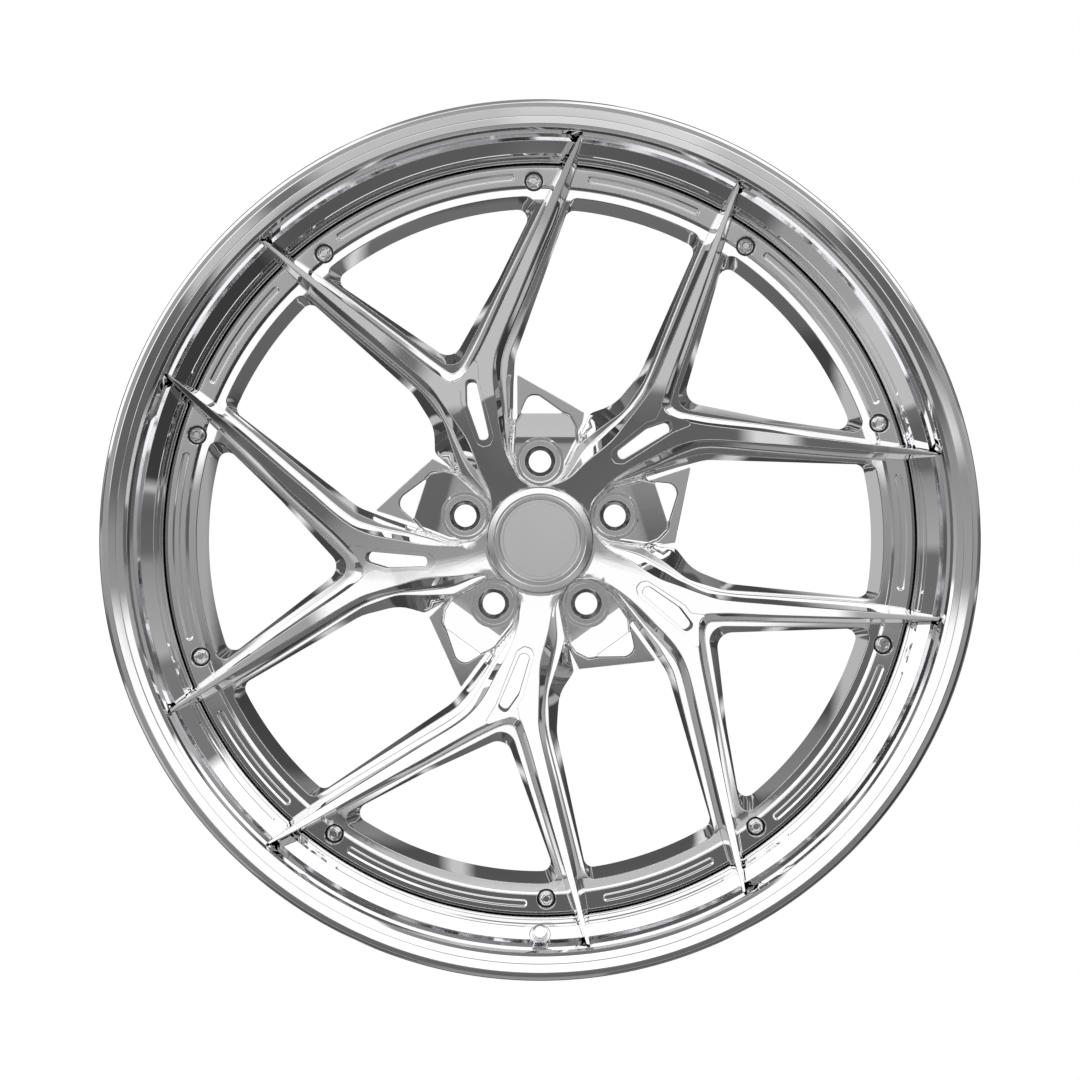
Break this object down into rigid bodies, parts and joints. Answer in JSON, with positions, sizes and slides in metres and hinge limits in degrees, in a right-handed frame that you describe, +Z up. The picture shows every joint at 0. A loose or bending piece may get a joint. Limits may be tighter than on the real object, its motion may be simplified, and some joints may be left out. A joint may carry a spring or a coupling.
{
  "type": "forged racing wheel rim",
  "caption": "Multi-piece forged wheel rim: swirled Y-spoke centre disc bolted between a stepped polished outer lip and an inner barrel, with centre cap and clamp-in tyre valve.",
  "frame": {"origin": "centre of the lug bolt circle on the hub mounting face", "axes": "Y is the wheel axis: -Y points out of the outboard (styled) face, +Y toward the vehicle; +Z is up, with the valve at the bottom"},
  "size_m": [0.593, 0.288, 0.593],
  "materials": {
    "polished_disc": "polished forged aluminium with a chrome-like finish",
    "polished_lip": "mirror polished",
    "barrel_metal": "turned, satin",
    "fastener_steel": "plated",
    "cap_satin": "satin",
    "cap_polished": "polished",
    "valve_metal": "plated",
    "core_brass": "machined",
    "spring_steel": "drawn wire",
    "seal_rubber": "moulded",
    "sealant": "cured silicone bead"
  },
  "bodies": {
    "wheel": {"center_disc": "polished_disc", "outer_lip": "polished_lip", "inner_barrel": "barrel_metal", "rim_seal": "sealant", "assembly_bolts": "fastener_steel", "assembly_washers": "fastener_steel", "assembly_nuts": "fastener_steel", "valve_stem": "valve_metal", "valve_grommet": "seal_rubber", "valve_washer": "fastener_steel", "valve_nut": "valve_metal", "valve_core_body": "core_brass", "valve_core_body_seal": "seal_rubber", "valve_core_spring": "spring_steel"},
    "center_cap": {"center_cap_body": "cap_polished", "center_cap_face": "cap_satin", "center_cap_o_ring": "seal_rubber"},
    "valve_cap_lifter": {"valve_cap_seal": "seal_rubber"},
    "valve_cap": {"valve_cap": "valve_metal"},
    "valve_pin": {"valve_core_pin": "core_brass", "valve_core_pin_seal": "seal_rubber"}
  },
  "joints": [
    {"name": "center_cap_pull", "type": "slide", "parent": "wheel", "child": "center_cap", "axis": [0, -1, 0], "range_m": [0, 0.04]},
    {"name": "valve_cap_lift", "type": "slide", "parent": "wheel", "child": "valve_cap_lifter", "axis": [0, -0.8437, 0.5368], "range_m": [0, 0.00397]},
    {"name": "valve_cap_turn", "type": "hinge", "parent": "valve_cap_lifter", "child": "valve_cap", "pos_m": [0, -0.07685, -0.27025], "axis": [0, -0.8437, 0.5368], "range_deg": [0, 1800]},
    {"name": "valve_pin_press", "type": "slide", "parent": "wheel", "child": "valve_pin", "axis": [0, 0.8437, -0.5368], "range_m": [0, 0.0015], "stiffness_N_per_m": 400, "springref_m": -0.002, "deforming": ["valve_core_spring"]}
  ],
  "couplings": [
    {"joint": "valve_cap_turn", "follows": "valve_cap_lift", "rad_per_m": 7913.2}
  ]
}
